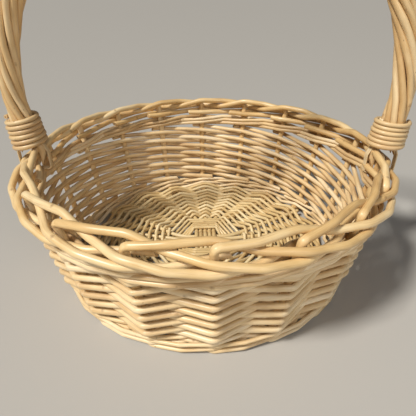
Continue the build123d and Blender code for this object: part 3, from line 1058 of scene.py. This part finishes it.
def build_rope_rod(name, number):
    """One of the rods that wind round the hoop's core like the strands of a rope."""
    stations = handle_stations()
    points = np.array([point for point, outward in stations])
    travelled = distances(points)
    corners = []
    sway = chance.uniform(-ROPE_SWAY, ROPE_SWAY)
    for (centre, outward), distance in zip(stations, travelled):
        twist = ROPE_EIGHTH_TURNS * distance / travelled[-1]
        turn = math.tau / ROPE_COUNT * (number + 0.5 + twist)
        turn += sway * math.sin(distance * 18 + number)
        ring = ROPE_RING + ROPE_LIFT * math.sin(distance * 31 + 2 * number)
        across = np.array((0, ring * math.sin(turn), 0))
        corners.append(centre + outward * ring * math.cos(turn) + across)
    right = foot_corners(corners[0], stations[0][1], number)
    left = foot_corners(corners[-1], stations[-1][1], (number + ROPE_EIGHTH_TURNS) % ROPE_COUNT)
    corners = right[::-1] + corners + left
    line = rounded_line(corners, [ROPE_BEND] * (len(corners) - 2), step=HANDLE_LINE_STEP)
    rod = Rods()
    butt, tip = (1.03, 0.95) if number % 2 else (0.95, 1.03)
    line = wander(line, ROPE_STRAY)
    butt *= ROPE_ROD_SHOWN
    tip *= ROPE_ROD_SHOWN
    inwards = (-stations[0][1], -stations[-1][1])
    rod.add_rod(line, butt, tip, sides=14, slant=(2.6, 2.6), facing=inwards)
    rod.make(f"handle_rod_{number + 1}", [name], "handle_willow")


def build_binding(side_name, side):
    """The coil round one foot of the handle, looser and more tilted at the bottom."""
    foot, outward, up = handle_foot(side)
    tilt, pitch = COILS[side_name]
    start = chance.uniform(0, math.tau)
    corners = []
    for step in range(BINDING_STEPS * BINDING_TURNS + 1):
        turn = math.tau * step / BINDING_STEPS
        share = step / (BINDING_STEPS * BINDING_TURNS)
        climb = BINDING_ROD / 2 + pitch * step / BINDING_STEPS
        climb += tilt * (1 - share) * math.cos(turn + start)
        climb -= tilt * 1.5 * (1 - share) ** 4
        ring = BINDING_RING + BINDING_SLACK * (1 - share)
        ring /= math.cos(math.pi / BINDING_STEPS)
        ring += BINDING_WOBBLE * math.sin(turn * 0.43 + start)
        point = foot + up * climb + outward * ring * math.cos(turn)
        aside = (ring - STRAND_THICKNESS) * math.sin(turn) * side
        corners.append(point + np.array((0, aside, 0)))
    line = rounded_line(corners, [BINDING_BEND] * (len(corners) - 2), step=FINE_STEP)
    coil = Rods()
    coil.add_rod(line, BINDING_ROD * 1.16, BINDING_ROD * 0.98)
    coil.make(f"binding_{side_name}", [f"handle_binding_{side_name}"], "split_willow")


def strand_section(width, thickness):
    """Cross-section of two split strands side by side: flat inside, domed outside."""
    shape = []
    for step in range(9):
        across = 1 - step / 4
        dome = math.sqrt(1 - (2 * abs(across) - 1) ** 2)
        shape.append((across * width / 2, thickness / 2 * (0.15 + 0.85 * dome)))
    for step in range(1, 8):
        across = step / 4 - 1
        shape.append((across * width / 2, -thickness / 2))
    return shape


def build_lashing(side_name, side):
    """The split strand that runs down inside the handle's foot, under the border and up."""
    foot, outward, up = handle_foot(side)
    height = BINDING_TURNS * BINDING_PITCH
    under = BORDER_BOTTOM - (STRAND_THICKNESS + STRAND_ROOM) / 2
    inner = (foot - outward * LASHING_RING)[0] - LASHING_INSET * side
    outer = (RIM_RADIUS - STRAND_THICKNESS / 2) * side
    corners = [
        foot - outward * LASHING_RING + up * height,
        foot - outward * LASHING_RING,
        np.array((inner, foot[1], HANDLE_FOOT - LANE)),
        np.array((inner, foot[1], under)),
        np.array((outer, foot[1], under)),
        np.array((outer, foot[1], HANDLE_FOOT - LANE)),
        foot + outward * LASHING_RING,
        foot + outward * LASHING_RING + up * height,
    ]
    line = rounded_line(corners, [LASHING_BEND] * (len(corners) - 2), step=FINE_STEP)
    tangents, _, _ = directions(line)
    travelled = distances(line)
    across = np.array((0.0, 1.0, 0.0))
    shape = strand_section(STRAND_WIDTH, STRAND_THICKNESS)
    tone = chance.random() * 0.5
    rings, grain, look = [], [], []
    for point, tangent, distance in zip(line, tangents, travelled):
        out = np.cross(across, tangent)
        rings.append([point + across * x + out * z for x, z in shape])
        grain.append([(x, z, distance + side) for x, z in shape])
        look.append([(tone, 0.0, 0.0)] * len(shape))
    strand = Rods()
    strand.add_rings(np.array(rings), np.array(grain), np.array(look))
    strand.make(f"strand_{side_name}", [f"handle_lashing_{side_name}"], "split_willow")


# ---------------------------------------------------------------- stage

FLOOR_COLOUR = (0.46, 0.445, 0.42)
FLOOR_REACH = 60.0
SKY_COLOUR = (0.80, 0.83, 0.88)
WALL_COLOUR = (0.60, 0.59, 0.57)
CAMERA_PLACE = (-0.010, -0.389, 0.290)
CAMERA_LENS = 32.9
CAMERA_DOWN = math.radians(31.0)
CAMERA_RIGHT = math.radians(1.95)
CAMERA_ROLL = -0.005


def aim(item, target):
    """Turns a lamp to look at a point."""
    away = np.asarray(target, float) - np.array(item.location)
    flat = math.hypot(away[0], away[1])
    item.rotation_euler = (math.atan2(flat, -away[2]), 0, -math.atan2(away[0], away[1]))


def add_light(name, place, target, size, power, colour):
    data = bpy.data.lights.new(name, "AREA")
    data.shape = "RECTANGLE"
    data.size, data.size_y = size
    data.energy = power
    data.color = colour
    lamp = bpy.data.objects.new(name, data)
    lamp.location = place
    bpy.context.scene.collection.objects.link(lamp)
    aim(lamp, target)


def add_sun(name, towards, power, softness, colour):
    data = bpy.data.lights.new(name, "SUN")
    data.energy = power
    data.angle = softness
    data.color = colour
    lamp = bpy.data.objects.new(name, data)
    lamp.location = towards
    bpy.context.scene.collection.objects.link(lamp)
    aim(lamp, (0, 0, 0))


def build_floor():
    mesh = bpy.data.meshes.new("floor")
    signs = ((-1, -1), (1, -1), (1, 1), (-1, 1))
    corners = [(x * FLOOR_REACH, y * FLOOR_REACH, 0) for x, y in signs]
    mesh.from_pydata(corners, [], [(0, 1, 2, 3)])
    material, nodes, links, shader = new_material("floor", FLOOR_COLOUR)
    shader.inputs["Base Color"].default_value = (*FLOOR_COLOUR, 1.0)
    shader.inputs["Roughness"].default_value = 0.8
    mesh.materials.append(material)
    floor = bpy.data.objects.new("floor", mesh)
    bpy.context.scene.collection.objects.link(floor)


def build_camera():
    data = bpy.data.cameras.new("camera")
    data.lens = CAMERA_LENS
    camera = bpy.data.objects.new("camera", data)
    camera.location = CAMERA_PLACE
    camera.rotation_euler = (math.pi / 2 - CAMERA_DOWN, 0.0, -CAMERA_RIGHT)
    camera.rotation_euler.rotate_axis("Z", CAMERA_ROLL)
    bpy.context.scene.collection.objects.link(camera)
    bpy.context.scene.camera = camera


def build_world():
    """A dim sky for the light, and a pale wall for what shows above the floor."""
    world = bpy.data.worlds.new("studio")
    world.use_nodes = True
    nodes, links = world.node_tree.nodes, world.node_tree.links
    sky = nodes["Background"]
    sky.inputs["Color"].default_value = (*SKY_COLOUR, 1.0)
    sky.inputs["Strength"].default_value = 0.07
    wall = nodes.new("ShaderNodeBackground")
    wall.inputs["Color"].default_value = (*WALL_COLOUR, 1.0)
    wall.inputs["Strength"].default_value = 1.0
    shown = nodes.new("ShaderNodeLightPath")
    both = nodes.new("ShaderNodeMixShader")
    links.new(shown.outputs["Is Camera Ray"], both.inputs[0])
    links.new(sky.outputs[0], both.inputs[1])
    links.new(wall.outputs[0], both.inputs[2])
    links.new(both.outputs[0], nodes["World Output"].inputs["Surface"])
    bpy.context.scene.world = world
    bpy.context.scene.view_settings.view_transform = "Standard"


build_pierced_sticks()
build_threaded_sticks()
build_slath_tie()
build_base_weaver(1, 0)
build_base_weaver(2, STAKE_COUNT // 2)
build_wales()
for number, name in enumerate(stake_names):
    build_stake(name, number)
for number, name in enumerate(side_names):
    build_side_weaver(name, number)
build_core()
for number, name in enumerate(rope_names):
    build_rope_rod(name, number)
for side_name, side in (("right", 1), ("left", -1)):
    build_binding(side_name, side)
    build_lashing(side_name, side)

build_floor()
build_camera()
build_world()
add_sun(
    "key",
    towards=(-0.85, -0.55, 1.25),
    power=3.5,
    softness=math.radians(10),
    colour=(1.0, 0.96, 0.89),
)
add_light(
    "fill",
    place=(0.5, -1.4, 0.9),
    target=(0, 0, 0.2),
    size=(0.8, 0.8),
    power=8,
    colour=(1.0, 0.98, 0.95),
)
